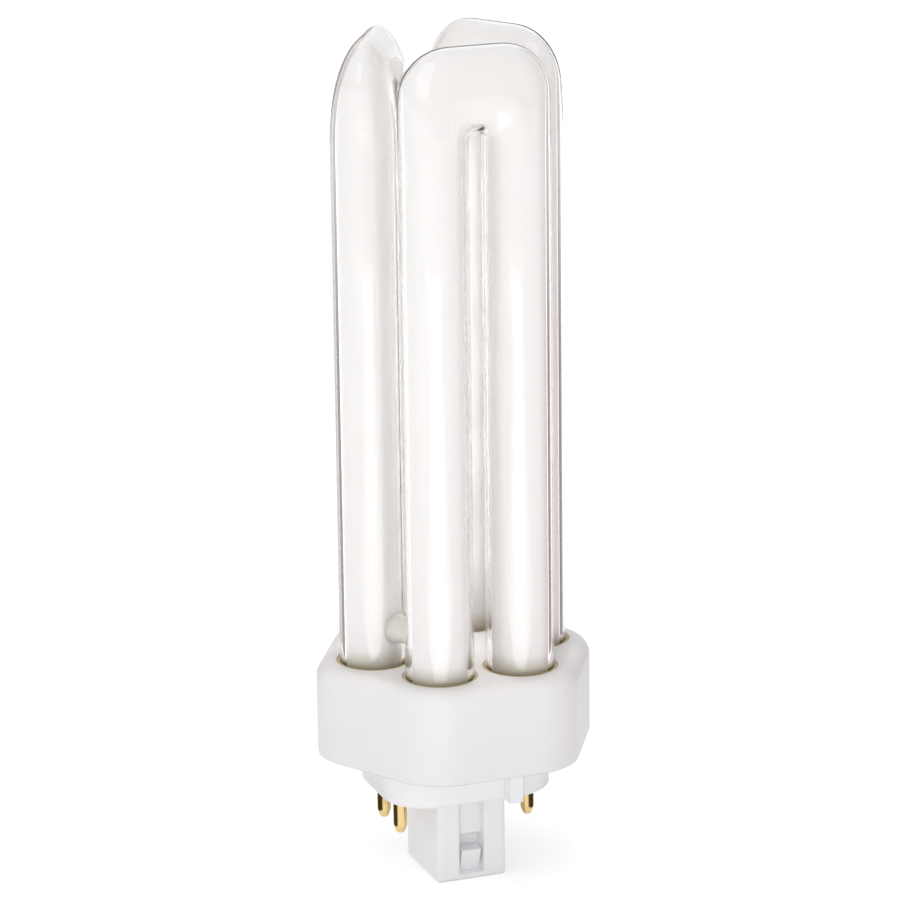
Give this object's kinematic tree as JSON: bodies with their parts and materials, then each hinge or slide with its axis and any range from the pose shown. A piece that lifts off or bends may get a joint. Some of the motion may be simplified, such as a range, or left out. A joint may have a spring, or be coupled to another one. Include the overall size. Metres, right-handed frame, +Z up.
{
  "type": "plug-in compact fluorescent lamp",
  "caption": "Plug-in compact fluorescent lamp: white U-bent glass tubes in a ring, held by a hexagonal collar on a keyed plug base with a latched post and brass contact pins.",
  "frame": {"origin": "centre of the contact pins, in the seating face under the shoulder of the base", "axes": "+Z up the glass tubes, away from the holder; -Y is the front, between two limbs of one U tube; X along the wide spacing of the pins"},
  "size_m": [0.048, 0.0442, 0.1441],
  "materials": {
    "phosphor_glass": "clear glass coated white inside",
    "collar_plastic": "satin warm white",
    "base_plastic": "satin cool white",
    "cement": "matt tan",
    "pin_brass": "drawn",
    "lead_wire": "drawn"
  },
  "bodies": {
    "root": {"discharge_vessel": "phosphor_glass", "tube_collar": "collar_plastic", "base_cement": "cement", "base_cap": "base_plastic", "contact_pin_1": "pin_brass", "contact_pin_2": "pin_brass", "contact_pin_3": "pin_brass", "contact_pin_4": "pin_brass", "lead_wire_1": "lead_wire", "lead_wire_2": "lead_wire", "lead_wire_3": "lead_wire", "lead_wire_4": "lead_wire"}
  },
  "joints": []
}
